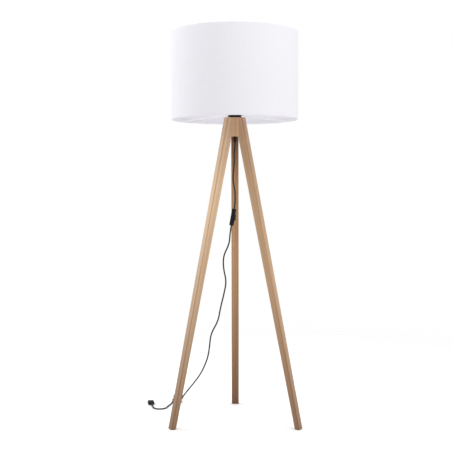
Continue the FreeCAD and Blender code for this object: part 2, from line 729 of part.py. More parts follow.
def make_plug():
    """A moulded two-blade plug, built with its cord end at the origin and pointing along +Y."""
    half = PLUG_WIDTH / 2
    low, high = PLUG_RELIEF, PLUG_RELIEF + PLUG_LENGTH
    body = block(-half, half, low, high, -PLUG_DEPTH / 2, PLUG_DEPTH / 2)
    long_edges = [e for e in body.Edges if e.BoundBox.YLength > PLUG_LENGTH - 1]
    body = body.makeFillet(4.0, long_edges)
    rear = [e for e in body.Edges if e.BoundBox.YMax < low + 0.1]
    body = body.makeFillet(3.0, rear)
    relief = Part.makeCone(CORD_RADIUS + 0.8, 5.2, PLUG_RELIEF + 2, V(0, 0, 0), V(0, 1, 0))
    body = joined([body, relief])
    blades = [
        block(
            x - BLADE_THICKNESS / 2,
            x + BLADE_THICKNESS / 2,
            high - BLADE_HOLD,
            high + BLADE_LENGTH,
            -BLADE_WIDTH / 2,
            BLADE_WIDTH / 2,
        )
        for x in (-BLADE_SPACING / 2, BLADE_SPACING / 2)
    ]
    body = body.cut(Part.makeCompound(blades))
    save("plug_body", moved(turned(body, PLUG_TURN), PLUG_PLACE))
    save("plug_blades", *[moved(turned(blade, PLUG_TURN), PLUG_PLACE) for blade in blades])


if __name__ == "__main__":
    os.makedirs("parts", exist_ok=True)
    make_tripod()
    make_holder()
    make_lock_ring()
    make_bulb()
    make_shade()
    make_inner_lead()
    make_switch()
    make_cord()
    make_plug()
    print(len(made), "nodes")
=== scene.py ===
# %% [markdown]
# # A tripod floor lamp, from its mechanical parts to its finishes
# The mechanical model of the lamp comes first and stays fixed: three splayed legs on a
# six-sided block, a drum shade on a threaded lampholder, and a mains lead with a rocker
# switch in its line. Every piece made below is in metres in that model's own frame, so a
# piece is placed by the model's sizes and needs no fitting.
# The loader brings the parts in as meshes whose objects sit at the origin. Their boxes are
# what everything else is measured from.

import math

import bmesh
import bpy
from mathutils import Euler, Matrix, Vector


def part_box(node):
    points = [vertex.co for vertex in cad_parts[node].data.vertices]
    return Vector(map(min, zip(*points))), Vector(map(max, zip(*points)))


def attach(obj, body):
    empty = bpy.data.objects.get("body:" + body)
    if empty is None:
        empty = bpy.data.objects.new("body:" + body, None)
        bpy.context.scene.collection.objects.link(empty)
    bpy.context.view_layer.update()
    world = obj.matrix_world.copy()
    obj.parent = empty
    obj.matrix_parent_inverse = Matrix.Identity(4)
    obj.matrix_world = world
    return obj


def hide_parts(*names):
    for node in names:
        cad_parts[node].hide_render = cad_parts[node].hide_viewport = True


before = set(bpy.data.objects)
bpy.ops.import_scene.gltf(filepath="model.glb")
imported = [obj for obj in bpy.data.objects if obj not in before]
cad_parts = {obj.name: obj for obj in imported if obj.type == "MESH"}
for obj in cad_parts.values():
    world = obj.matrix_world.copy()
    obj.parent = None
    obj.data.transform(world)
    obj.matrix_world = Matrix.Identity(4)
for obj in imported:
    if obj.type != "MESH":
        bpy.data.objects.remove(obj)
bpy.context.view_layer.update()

# %% [markdown]
# ## The place it stands in
# A lamp like this is shown in a white room, with a large soft light in front on the right,
# another far round on the left that picks out the edges, and one overhead that shines
# down into the shade. A background picture would do, but a plain floor keeps the
# soft shadows under the feet and the lead, which tell the eye that the lamp stands there.
# The floor is a white disc that thins out to nothing, so that no horizon crosses the lamp.
# The world is the white room. What it shows behind the lamp is brighter than what it sheds
# on it, as in a studio where the backdrop has lights of its own.

# %% White room
room = bpy.data.worlds.new("white_room")
room.use_nodes = True
nodes, links = room.node_tree.nodes, room.node_tree.links
shed = nodes["Background"]
shed.inputs["Color"].default_value = (0.985, 0.988, 1.0, 1)
shed.inputs["Strength"].default_value = 0.786
backdrop = nodes.new("ShaderNodeBackground")
backdrop.inputs["Color"].default_value = (1, 1, 1, 1)
seen, choice = nodes.new("ShaderNodeLightPath"), nodes.new("ShaderNodeMixShader")
links.new(seen.outputs["Is Camera Ray"], choice.inputs[0])
links.new(shed.outputs[0], choice.inputs[1])
links.new(backdrop.outputs[0], choice.inputs[2])
links.new(choice.outputs[0], nodes["World Output"].inputs["Surface"])
bpy.context.scene.world = room
bpy.context.scene.view_settings.view_transform = "Standard"
print("room light:", round(shed.inputs["Strength"].default_value, 2))

# %% Floor that thins out
FLOOR = 4.0
floor_mesh = bpy.data.meshes.new("studio_floor")
bm = bmesh.new()
bmesh.ops.create_circle(bm, cap_ends=True, segments=96, radius=FLOOR)
bm.to_mesh(floor_mesh)
bm.free()
floor = bpy.data.objects.new("studio_floor", floor_mesh)
bpy.context.scene.collection.objects.link(floor)

paint = bpy.data.materials.new("floor_paint")
paint.use_nodes = True
nodes, links = paint.node_tree.nodes, paint.node_tree.links
nodes["Principled BSDF"].inputs["Base Color"].default_value = (0.97, 0.97, 0.97, 1)
nodes["Principled BSDF"].inputs["Roughness"].default_value = 0.9
nodes["Principled BSDF"].inputs["Specular IOR Level"].default_value = 0.1
spot, reach = nodes.new("ShaderNodeTexCoord"), nodes.new("ShaderNodeVectorMath")
reach.operation = "LENGTH"
fade = nodes.new("ShaderNodeMapRange")
fade.interpolation_type = "SMOOTHSTEP"
for socket, value in zip(fade.inputs[1:5], (0.9, 2.6, 1.0, 0.0)):
    socket.default_value = value
links.new(spot.outputs["Object"], reach.inputs[0])
links.new(reach.outputs["Value"], fade.inputs[0])
links.new(fade.outputs[0], nodes["Principled BSDF"].inputs["Alpha"])
floor_mesh.materials.append(paint)
print("floor:", 2 * FLOOR, "m across, solid for", 2 * fade.inputs[1].default_value, "m")


# %% Soft boxes
def soft_box(name, place, aim, width, height, watts, colour=(1, 1, 1)):
    """A rectangular area light that faces the point aim."""
    light = bpy.data.lights.new(name, "AREA")
    light.shape, light.size, light.size_y = "RECTANGLE", width, height
    light.energy, light.color = watts, colour
    lamp = bpy.data.objects.new(name, light)
    lamp.location = place
    lamp.rotation_euler = (Vector(aim) - Vector(place)).to_track_quat("-Z", "Y").to_euler()
    bpy.context.scene.collection.objects.link(lamp)
    return lamp


soft_box("key_box", (2.4, -2.0, 1.5), (0, 0, 0.9), 1.2, 1.4, 21.5, (1, 0.99, 0.97))
soft_box("side_box", (-3.0, 0.6, 1.5), (0, 0, 0.9), 1.0, 1.6, 27.5)
soft_box("top_box", (0, 0, 2.5), (0, 0.001, 0), 2.0, 2.0, 25)

# %% [markdown]
# ## The camera
# The lamp is looked at from a little over three metres, from three quarters of the way up
# its legs and tipped down by a couple of degrees, with a lens about half as long again as a
# normal one. Seen through a long lens from far away, the shade's rims are nearly flat and
# the rear leg is nearly as big as the front ones. The camera's turns are given as yaw, pitch
# and roll, because that is how a camera on a stand is set.

# %% Camera on its stand
CAMERA_PLACE = (0.0, -3.2377, 0.8333)
SENSOR_WIDTH, LENS = 36, 72.19115
YAW, PITCH, ROLL = (math.radians(a) for a in (0.57, -2.357, -0.12))
camera_data = bpy.data.cameras.new("camera")
camera_data.sensor_width, camera_data.lens = SENSOR_WIDTH, LENS
camera = bpy.data.objects.new("camera", camera_data)
camera.location = CAMERA_PLACE
aim = Euler((math.pi / 2 + PITCH, 0, YAW), "XYZ").to_matrix()
camera.rotation_euler = (aim @ Matrix.Rotation(ROLL, 3, "Z")).to_euler()
bpy.context.scene.collection.objects.link(camera)
bpy.context.scene.camera = camera
print("lens:", round(camera_data.lens, 2), "mm")


# %% [markdown]
# ## How a piece is finished off
# A piece starts as a bmesh, which is a mesh that can be edited with operators. When its
# shape is done, its doubled points are merged, its faces are turned outwards, and it
# becomes an object that rides on one of the lamp's bodies. A short helper does this the
# same way each time, and marks edges sharper than an angle so that round faces are shaded
# smooth and corners stay crisp.

# %% Helpers for pieces
def piece_from(bm, name, body, finish, sharp_over=35):
    """Makes an object of the bmesh, smooth but for its sharp edges, riding on a body."""
    bmesh.ops.remove_doubles(bm, verts=bm.verts, dist=2e-6)
    bmesh.ops.recalc_face_normals(bm, faces=bm.faces)
    mesh = bpy.data.meshes.new(name)
    bm.to_mesh(mesh)
    bm.free()
    mesh.shade_smooth()
    mesh.set_sharp_from_angle(angle=math.radians(sharp_over))
    mesh.materials.append(finish)
    piece = bpy.data.objects.new(name, mesh)
    bpy.context.scene.collection.objects.link(piece)
    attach(piece, body)
    print(name, len(mesh.polygons), "faces")
    return piece


# %% [markdown]
# ## Patterns written as sums
# Every finish below is a net of nodes. Wiring them one at a time is long, so one small class
# wraps a socket and lets plain Python operators add the Math nodes: `1 - mask * 0.3` makes
# two of them. All other nodes come from the one method `add`, which takes a node's type, its
# settings, and the values or links of its inputs.

# %% Sockets that can be added and multiplied
class Wire:
    """An output socket. Operators on it add Math nodes to its tree."""

    def __init__(self, finish, socket):
        self.finish, self.socket = finish, socket

    def maths(self, operation, first, second):
        return self.finish.add("Math", {"operation": operation}, {0: first, 1: second})

    def __add__(self, other):
        return self.maths("ADD", self, other)

    def __radd__(self, other):
        return self.maths("ADD", other, self)

    def __sub__(self, other):
        return self.maths("SUBTRACT", self, other)

    def __rsub__(self, other):
        return self.maths("SUBTRACT", other, self)

    def __mul__(self, other):
        return self.maths("MULTIPLY", self, other)

    def __rmul__(self, other):
        return self.maths("MULTIPLY", other, self)

    def __abs__(self):
        return self.maths("ABSOLUTE", self, 0)

    def floor(self):
        return self.maths("FLOOR", self, 0)

    def fraction(self):
        return self.maths("FRACT", self, 0)

    def wave(self):
        """The height of a round thread, 0 to 1, for each whole step of the value."""
        return abs(self.maths("SINE", self * math.pi, 0))


class Finish:
    """A material and its nodes."""

    def __init__(self, name, **constants):
        self.material = bpy.data.materials.new(name)
        self.material.use_nodes = True
        self.tree = self.material.node_tree
        self.shader = self.tree.nodes["Principled BSDF"]
        for socket, value in constants.items():
            self.shader.inputs[socket.replace("_", " ")].default_value = value

    def add(self, kind, settings=None, inputs=None, output=0):
        """Adds a node: its settings first, then the values or links of its sockets."""
        node = self.tree.nodes.new("ShaderNode" + kind)
        for name, value in (settings or {}).items():
            if name == "stops":
                for extra in value[2:]:
                    node.color_ramp.elements.new(extra[0])
                for stop, (place, colour) in zip(node.color_ramp.elements, value):
                    stop.position, stop.color = place, (*colour, 1)
            else:
                setattr(node, name, value)
        for name, value in (inputs or {}).items():
            self.feed(node.inputs[name], value)
        return Wire(self, node.outputs[output])

    def feed(self, socket, value):
        if isinstance(value, Wire):
            self.tree.links.new(value.socket, socket)
        else:
            socket.default_value = value

    def set(self, **values):
        """Feeds inputs of the surface shader."""
        for name, value in values.items():
            self.feed(self.shader.inputs[name.replace("_", " ")], value)
        return self.material

    def place(self, scale=(1, 1, 1), **mapping):
        """Object coordinates, in metres, turned and stretched as the mapping says."""
        spot = self.add("TexCoord", output=3)
        return self.add("Mapping", mapping, {"Vector": spot, "Scale": scale})

    def axes(self, vector):
        """The three numbers of a vector."""
        node = self.add("SeparateXYZ", None, {"Vector": vector}).socket.node
        return [Wire(self, output) for output in node.outputs]

    def vector(self, x, y, z):
        return self.add("CombineXYZ", None, {"X": x, "Y": y, "Z": z})

    def ramp(self, value, *stops):
        return self.add("ValToRGB", {"stops": stops}, {"Fac": value})

    def between(self, value, low, high, start=0.0, end=1.0):
        """The value's run from low to high turned into start to end, and held there."""
        return self.add("MapRange", None, {0: value, 1: low, 2: high, 3: start, 4: end})

    def noise(self, vector, scale, detail=3.0, roughness=0.5):
        values = {"Vector": vector, "Scale": scale, "Detail": detail, "Roughness": roughness}
        return self.add("TexNoise", None, values)

    def blend(self, factor, first, second, how="MIX"):
        """Two colours mixed by a factor."""
        return self.add(
            "Mix",
            {"data_type": "RGBA", "blend_type": how},
            {0: factor, 6: first, 7: second},
            output=2,
        )

    def bump(self, height, millimetres, strength=1.0):
        """A normal from a height of 0 to 1, which stands for that many millimetres."""
        return self.add(
            "Bump", None, {"Strength": strength, "Distance": millimetres / 1000, "Height": height}
        )


def dress(finish, *nodes):
    """Puts a finish on parts of the mechanical model."""
    for name in nodes:
        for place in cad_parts[name].material_slots:
            place.material = finish


def srgb(red, green, blue):
    """A colour as its 0 to 255 display values, turned to the linear light that nodes use."""
    def linear(v):
        v /= 255
        return v / 12.92 if v <= 0.04045 else ((v + 0.055) / 1.055) ** 2.4
    return (linear(red), linear(green), linear(blue), 1.0)


print("one grey:", [round(v, 3) for v in srgb(128, 128, 128)])

# %% [markdown]
# ## The lead
# The lead is a black round two-core flex, 5.2 mm across and 1.76 m long. It leaves a soft
# rubber boot under the block, hangs with the slight waves that packing left in it, passes
# through the switch, and swings out to the floor behind a front leg. What isn't needed there
# is folded into a small hank and held by a tie, and the end comes forward to the plug.
# A real flex has no corners, so each run is one smooth NURBS curve through the air, with few
# control points. A bevel on the curve gives it its thickness.

# %% Sheath of the lead
sheath = Finish("lead_sheath", Specular_IOR_Level=0.3)
spot = sheath.place()
drawn = sheath.noise(spot, 900, 2)
dust = sheath.noise(spot, 60, 4, 0.6)
sheath.set(
    Base_Color=sheath.blend(dust, srgb(16, 16, 18), srgb(28, 28, 31)),
    Roughness=0.4 + 0.16 * dust,
    Normal=sheath.bump(drawn, 0.05, 0.35),
)
print(sheath.material.name, len(sheath.tree.nodes), "nodes")

# %% Where the lead runs, in metres
CORD = 0.0052
UPPER_ROUTE = [
    (0.0, 0.0, 0.998), (0.0, 0.0, 0.982), (-0.0035, 0.0, 0.957), (-0.0015, 0.0005, 0.925),
    (-0.0085, 0.001, 0.868), (0.0005, 0.001, 0.825), (0.0005, 0.0005, 0.790),
    (-0.0013, 0.0, 0.7694), (-0.0043, 0.0, 0.7527),
]
LOWER_ROUTE = [
    (-0.0117, 0.0, 0.7103), (-0.0147, 0.0, 0.6936), (-0.018, 0.0015, 0.670),
    (-0.021, 0.0045, 0.634), (-0.0425, 0.0085, 0.592), (-0.042, 0.0145, 0.545),
    (-0.031, 0.022, 0.500), (-0.0405, 0.031, 0.452), (-0.054, 0.044, 0.398),
    (-0.062, 0.0585, 0.350), (-0.090, 0.076, 0.300), (-0.095, 0.097, 0.248),
    (-0.103, 0.117, 0.200), (-0.128, 0.144, 0.140), (-0.163, 0.170, 0.090),
    (-0.196, 0.200, 0.046), (-0.2105, 0.236, 0.018),
]
TAIL_ROUTE = [
    (-0.245, 0.250, 0.0026), (-0.2515, 0.218, 0.0026), (-0.2585, 0.191, 0.0026),
    (-0.2625, 0.166, 0.0026), (-0.277, 0.1515, 0.0026), (-0.297, 0.1515, 0.0026),
    (-0.311, 0.166, 0.0034), (-0.3161, 0.1903, 0.0065), (-0.319, 0.204, 0.0065),
]
print("points:", len(UPPER_ROUTE), len(LOWER_ROUTE), len(TAIL_ROUTE))

# %% [markdown]
# The hank is wound by a loop: a straight side, a half turn, the other side, a half turn,
# one layer down, and the same again. A half turn needs five points, a little outside its
# circle, because the curve cuts inside its corners. At the waist the tie draws the four
# runs together, and the upper two settle between the lower ones.

# %% The hank's turns
HANK_MIDDLE, HANK_RUN, FOLD = Vector((-0.228, 0.312, 0)), 0.072, 0.0163
LOW_LAYER, HIGH_LAYER = 0.0026, 0.0078
WAIST = {HIGH_LAYER: (0.0029, 0.0068), LOW_LAYER: (0.0072, 0.0036)}


def hank_side(side, height, heading):
    """Three points of a straight side, drawn in to the tie at its middle."""
    waist_x, waist_z = WAIST[height]
    ends = [Vector((side * FOLD, -heading * HANK_RUN * 0.36, height))]
    ends.append(Vector((side * waist_x, 0, waist_z)))
    ends.append(Vector((side * FOLD, heading * HANK_RUN * 0.36, height)))
    return [HANK_MIDDLE + p for p in ends]


def hank_fold(side, heading, start, end):
    """Five points round a half turn from one side to the other, going from start to end."""
    points, reach = [], FOLD / math.cos(math.radians(18))
    for i in range(5):
        angle = math.radians(18 + 36 * i)
        x, y = side * reach * math.cos(angle), heading * (HANK_RUN / 2 + reach * math.sin(angle))
        z = start + (end - start) * (i + 0.5) / 5
        points.append(HANK_MIDDLE + Vector((x, y, z)))
    return points


hank = []
hank += hank_side(1, HIGH_LAYER, 1) + hank_fold(1, 1, HIGH_LAYER, HIGH_LAYER)
hank += hank_side(-1, HIGH_LAYER, -1) + hank_fold(-1, -1, HIGH_LAYER, LOW_LAYER)
hank += hank_side(1, LOW_LAYER, 1) + hank_fold(1, 1, LOW_LAYER, LOW_LAYER)
hank += hank_side(-1, LOW_LAYER, -1)
print("hank:", len(hank), "points")


# %% The two runs of the lead
def flex(name, points):
    """A round lead along one open NURBS curve."""
    curve = bpy.data.curves.new(name, "CURVE")
    curve.dimensions, curve.bevel_depth = "3D", CORD / 2
    curve.bevel_resolution, curve.resolution_u, curve.use_fill_caps = 4, 10, True
    spline = curve.splines.new("NURBS")
    spline.points.add(len(points) - 1)
    for point, place in zip(spline.points, points):
        point.co = (*place, 1)
    spline.order_u, spline.use_endpoint_u = 3, True
    curve.materials.append(sheath.material)
    piece = bpy.data.objects.new(name, curve)
    bpy.context.scene.collection.objects.link(piece)
    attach(piece, "tripod")
    print(name, round(spline.calc_length(), 3), "m")
    return piece


lead_upper = flex("lead_upper", UPPER_ROUTE)
lead_lower = flex("lead_lower", LOWER_ROUTE + [tuple(p) for p in hank] + TAIL_ROUTE)
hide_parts("cord_upper")
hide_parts("cord_lower", "cord_hank", "cord_tail")

# %% [markdown]
# ## Oak
# The legs and the block are oak, stained a light brown under a matt lacquer. A flat brown
# would look like plastic: real oak shows growth rings that run along the board in long
# stripes, short dark pores, and fine fibres. All three follow the tree and not the surface,
# so the pattern is a solid one in space: rings are distances from the tree's heart, which
# lies outside the board, and the pores and fibres are noise drawn out along the grain. Each
# leg's pattern is turned so that its length runs along the leaning leg.
# Two tones are laid over the wood by its height above the floor: one darkens it towards the
# feet and one under the shade. They stand in for light that falls off downwards and for the
# shade's shadow, and aren't a colour that the wood has. Under lights that do this by
# themselves, both shares are set to 0.

# %% A finish for one board of oak
PAINTED_FOOT_SHADE = (0.33, 0.25, 0.19, 1)
PAINTED_HEAD_SHADE = (0.42, 0.33, 0.28, 1)
PAINTED_HEAD_SHADE_FROM, PAINTED_HEAD_SHADE_TO = 0.84, 1.04


def oak(name, light, dark, foot=(0, 0, 0), turn=(0, 0, 0), heart=(0.04, 0.07), arris=None,
        foot_shade_reach=0.5, foot_shade_share=0.6, head_shade_share=0):
    """Oak whose grain runs along the turned Z axis through the point foot."""
    wood = Finish(name, Specular_IOR_Level=0.4)
    spot = wood.add("TexCoord", output=3)
    board = {"Vector": spot, "Location": foot, "Rotation": turn}
    x, y, z = wood.axes(wood.add("Mapping", {"vector_type": "TEXTURE"}, board))
    bend = wood.noise(wood.vector(x, y, z * 0.1), 9, 2)
    away = wood.vector(x - heart[0] + bend * 0.02, y - heart[1], 0)
    distance = wood.add("VectorMath", {"operation": "LENGTH"}, {0: away}, output=1)
    year = (distance * 240 + bend * 1.5).fraction()
    ring = wood.ramp(year, (0, (0, 0, 0)), (1, (0, 0, 0)), (0.55, (0.25,) * 3), (0.86, (1, 1, 1)))
    fibre = wood.noise(wood.vector(x, y, z * 0.02), 520, 3, 0.6)
    stripe = wood.noise(wood.vector(x, y, z * 0.012), 95, 2)
    pore = wood.between(wood.noise(wood.vector(x, y, z * 0.03), 2600, 1), 0.6, 0.72)
    shade = 0.42 * ring + 0.5 * wood.between(stripe, 0.35, 0.65) + 0.35 * (fibre - 0.5)
    colour = wood.blend(shade, light, dark)
    colour = wood.blend(pore * (0.25 + 0.45 * ring), colour, srgb(96, 66, 44))
    level = wood.axes(spot)[2]
    # Painted shade: the colour is darkened towards the feet and, on the legs' heads, under the
    # shade.
    low = wood.between(level, 0.0, foot_shade_reach, foot_shade_share, 0)
    high = wood.between(level, PAINTED_HEAD_SHADE_FROM, PAINTED_HEAD_SHADE_TO, 0, head_shade_share)
    colour = wood.blend(low, colour, PAINTED_FOOT_SHADE, "MULTIPLY")
    colour = wood.blend(high, colour, PAINTED_HEAD_SHADE, "MULTIPLY")
    # A narrow band along one edge of each leg is darkened.
    if arris:
        line = wood.between(abs(x), arris - 0.0042, arris - 0.0004)
        line = line * wood.between(y, -0.0055, -0.001)
        colour = wood.blend(line * 0.75, colour, (0.66, 0.58, 0.52, 1), "MULTIPLY")
    wood.set(
        Base_Color=colour,
        Roughness=0.5 + 0.16 * pore - 0.1 * ring + 0.12 * (fibre - 0.5),
        Normal=wood.bump(0.5 + 0.3 * fibre - 0.6 * pore - 0.15 * ring, 0.12, 0.55),
    )
    return wood.material


# %% Each leg its own oak colours, partly painted shade
HEAD_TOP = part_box("leg_rear")[1].z
LEG_FOOT, LEG_HEAD, HALF_WIDTH = 0.2623, 0.0363, 0.0133
LEAN = math.atan((LEG_FOOT - LEG_HEAD) / HEAD_TOP)
# The legs' colours differ partly as boards of oak do and partly as painted shade, which makes the
# rear leg, at the back, the darkest.
boards_and_painted_shade = {
    "leg_rear": (0, srgb(187, 147, 107), srgb(147, 107, 70), (0.05, 0.06)),
    "leg_front_left": (120, srgb(219, 188, 154), srgb(184, 149, 112), (-0.03, 0.08)),
    "leg_front_right": (240, srgb(195, 161, 127), srgb(157, 121, 88), (0.07, -0.04)),
}
# Painted shade per leg: how far up the darkening at the foot reaches, its share, and the share of
# the darkening under the shade.
tones = {  # how far up the foot's tone reaches, its share, and the share of the head's tone
    "leg_rear": (0.6, 1.0, 1.0),
    "leg_front_left": (0.78, 1.0, 0.4),
    "leg_front_right": (0.5, 0.75, 0.3),
}
for node, (degrees, light, dark, heart) in boards_and_painted_shade.items():
    turn = math.radians(degrees)
    foot = (-LEG_FOOT * math.sin(turn), LEG_FOOT * math.cos(turn), 0)
    lean = (LEAN, 0, turn)
    dress(oak("oak_" + node, light, dark, foot, lean, heart, HALF_WIDTH, *tones[node]), node)
block_oak = oak("oak_block", srgb(190, 156, 118), srgb(156, 120, 84), heart=(0.05, -0.02))
dress(block_oak, "head_block")
dress(oak("beech_pins", srgb(206, 178, 146), srgb(182, 148, 114), heart=(0.01, 0.03)), "leg_dowels")
print("lean of a leg:", round(math.degrees(LEAN), 2), "degrees")

# %% [markdown]
# ## Felt under the feet
# Three small grey felt pads keep the legs from scratching the floor. Felt has no threads to
# show, only a clumpy nap: fine noise makes its colour, coarse noise its dull gloss, and the
# two together its height.

# %% Felt
felt = Finish("grey_felt", Specular_IOR_Level=0.1, Sheen_Weight=0.3)
nap = felt.noise(felt.place(), 700, 4, 0.7)
clump = felt.noise(felt.place(), 160, 3)
felt.set(
    Base_Color=felt.blend(nap, srgb(96, 88, 80), srgb(134, 124, 112)),
    Roughness=0.86 + 0.1 * clump,
    Normal=felt.bump(nap * 0.6 + clump * 0.4, 0.3, 0.8),
)
dress(felt.material, "foot_pads")
print(felt.material.name, len(felt.tree.nodes), "nodes")

# %% [markdown]
# ## Metals
# Nickelled, zinc-plated and brass parts differ in colour, but all were turned or drawn, so
# they carry fine lines and dull spots. One function makes them: the lines are noise squeezed
# along one axis, and the spots change the colour and the roughness.

# %% Turned and plated metal
def metal(name, bright, dull, rough, squeeze=(1, 1, 12)):
    """A metal with fine tool lines and slightly dull spots."""
    plate = Finish(name, Metallic=1.0)
    lines = plate.noise(plate.place(scale=squeeze), 500, 3)
    spots = plate.noise(plate.place(), 110, 4, 0.6)
    plate.set(
        Base_Color=plate.blend(spots, bright, dull),
        Roughness=rough + 0.14 * spots + 0.1 * lines,
        Normal=plate.bump(lines, 0.02, 0.4),
    )
    return plate.material


zinc = metal("zinc_plate", srgb(196, 200, 204), srgb(158, 162, 168), 0.28)
brass = metal("brass", srgb(226, 190, 112), srgb(190, 150, 78), 0.24)
nickel = metal("nickel_plate", srgb(214, 208, 196), srgb(182, 176, 164), 0.18)
solder = metal("tin_solder", srgb(176, 178, 180), srgb(140, 142, 146), 0.42, (1, 1, 1))
dress(zinc, "threaded_nipple", "nipple_washer", "nipple_nuts", "switch_screws")
dress(brass, "centre_contact", "switch_terminals", "switch_blade")
print("metals:", 4)

# %% [markdown]
# ## Moulded plastics
# The lampholder, its ring, the switch and the plug come out of steel moulds that were etched
# to a fine grain. The grain is a bump of tight noise, and handling has polished it a little
# in patches, which is a slow noise in the roughness.

# %% Black plastics
def moulded(name, dark, light, rough, grain=0.05, scale=1500, gloss=0.16):
    """A plastic with a fine mould grain and handled patches."""
    plastic = Finish(name, Specular_IOR_Level=gloss)
    spot = plastic.place()
    fine, slow = plastic.noise(spot, scale, 2), plastic.noise(spot, 45, 3, 0.6)
    plastic.set(
        Base_Color=plastic.blend(0.35 * fine + 0.65 * slow, dark, light),
        Roughness=rough + 0.18 * slow,
        Normal=plastic.bump(fine, grain, 0.5),
    )
    return plastic.material


holder_black = moulded("holder_black", srgb(14, 14, 15), srgb(28, 27, 27), 0.46)
switch_black = moulded("switch_black", srgb(14, 14, 17), srgb(28, 29, 33), 0.46)
rocker_black = moulded("rocker_black", srgb(20, 24, 33), srgb(34, 41, 54), 0.22, 0.02, gloss=0.5)
rubber_black = moulded("rubber_black", srgb(26, 26, 27), srgb(44, 44, 45), 0.55, 0.08, 900)
insert_cream = moulded("insert_cream", srgb(196, 188, 172), srgb(214, 208, 194), 0.4)
dress(holder_black, "shade_lock_ring")
dress(insert_cream, "lampholder_insert")
dress(switch_black, "switch_back", "switch_front")
dress(rocker_black, "switch_rocker")
dress(sheath.material, "cord_inner")
wire_blue = moulded("wire_insulation", srgb(58, 82, 128), srgb(72, 98, 146), 0.35)
dress(wire_blue, "lead_wires")
print("plastics done")

# %% [markdown]
# ## Round pieces
# Most of the small parts were turned or moulded round. Each is a profile of a few points,
# radius and height, which `spin` carries once round the lamp's axis. The heights are in
# millimetres above the floor, which is how the parts were drawn, and a helper turns them
# into metres.

# %% A profile carried round the axis
def spun(profile, closed=True, steps=96):
    """A mesh of revolution from (radius, height) points in millimetres."""
    bm = bmesh.new()
    ring = [bm.verts.new((r / 1000, 0, z / 1000)) for r, z in profile]
    pairs = list(zip(ring, ring[1:] + ring[:1] if closed else ring[1:]))
    edges = [bm.edges.new(pair) for pair in pairs]
    bmesh.ops.spin(bm, geom=ring + edges, cent=(0, 0, 0), axis=(0, 0, 1), dvec=(0, 0, 0),
                   angle=2 * math.pi, steps=steps, use_merge=True)
    return bm


# %% [markdown]
# The black cup that shows as a thin dark line on top of the block is the lampholder's base.
# It has an eased top edge and a shallow groove for the fingers, and the sleeve screws into it.

# %% The lampholder's cup
TOP = HEAD_TOP * 1000
cup = spun([
    (5.2, TOP), (23.3, TOP), (23.75, TOP + 0.5), (23.75, TOP + 3.2), (23.35, TOP + 3.6),
    (23.35, TOP + 4.4), (23.75, TOP + 4.8), (23.75, TOP + 7.1), (23.4, TOP + 7.7),
    (22.8, TOP + 8), (20.2, TOP + 8), (19.6, TOP + 7.4), (19.6, TOP + 3), (5.2, TOP + 3),
])
cup = piece_from(cup, "holder_cup", "tripod", holder_black)
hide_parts("lampholder_base")

# %% [markdown]
# ## Screw threads
# The holder's sleeve has a coarse thread for the shade's ring, and the bulb's cap turns in a
# rolled brass thread. A thread could be faked by rings, but it climbs, and from above that
# shows. `spin` can climb too: with a step of height each time, one turn of a wavy line meets
# its own next wave. Two flat cuts then trim the ends.

# %% A climbing thread
def threaded(root, crest, pitch, low, high, steps=72):
    """An open tube with a rounded screw thread between two heights, in millimetres."""
    bm = bmesh.new()
    count = int((high - low) / pitch) + 4
    line = []
    for i in range(count * 6):
        swell = (1 - math.cos(math.pi * i / 3)) / 2
        height = low - 1.5 * pitch + i * pitch / 6
        line.append(bm.verts.new(((root + (crest - root) * swell) / 1000, 0, height / 1000)))
    edges = [bm.edges.new(pair) for pair in zip(line, line[1:])]
    bmesh.ops.spin(bm, geom=line + edges, cent=(0, 0, 0), axis=(0, 0, 1),
                   dvec=(0, 0, pitch / 1000 / steps), angle=2 * math.pi, steps=steps)
    bmesh.ops.remove_doubles(bm, verts=bm.verts, dist=1e-5)
    for height, normal in ((low, (0, 0, -1)), (high, (0, 0, 1))):
        everything = [*bm.verts, *bm.edges, *bm.faces]
        bmesh.ops.bisect_plane(bm, geom=everything, plane_co=(0, 0, height / 1000),
                               plane_no=normal, clear_outer=True)
    return bm


def rim_edges(bm, height):
    """The open edges at one height, in millimetres."""
    return [e for e in bm.edges
            if e.is_boundary and all(abs(v.co.z - height / 1000) < 1e-5 for v in e.verts)]


def extend(bm, edges, radius, height):
    """Extrudes a round open rim to a new radius and height, and returns the new rim."""
    made = bmesh.ops.extrude_edge_only(bm, edges=edges)["geom"]
    for v in (g for g in made if isinstance(g, bmesh.types.BMVert)):
        flat = Vector((v.co.x, v.co.y)).normalized() * radius / 1000
        v.co = (flat.x, flat.y, height / 1000)
    return [g for g in made if isinstance(g, bmesh.types.BMEdge) and g.is_boundary]


# %% The holder's sleeve, with its thread for the shade's ring
sleeve_low, sleeve_high = (c.z * 1000 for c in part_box("lampholder_body"))
bm = threaded(18.9, 19.5, 2.5, sleeve_low + 4, sleeve_high - 7)
low_rim = extend(bm, rim_edges(bm, sleeve_low + 4), 19.3, sleeve_low)
low_rim = extend(bm, low_rim, 17.2, sleeve_low)
high_rim = rim_edges(bm, sleeve_high - 7)
inward = [(18.6, -6.4), (18.6, -5.6), (19.4, -5.0), (19.4, -0.9), (18.9, -0.2), (18.2, 0)]
for radius, up in inward + [(14.6, 0), (14.0, -0.5), (14.0, -5.2), (17.2, -5.5)]:
    high_rim = extend(bm, high_rim, radius, sleeve_high + up)
bmesh.ops.bridge_loops(bm, edges=low_rim + high_rim)
sleeve = piece_from(bm, "holder_sleeve", "tripod", holder_black)
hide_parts("lampholder_body")

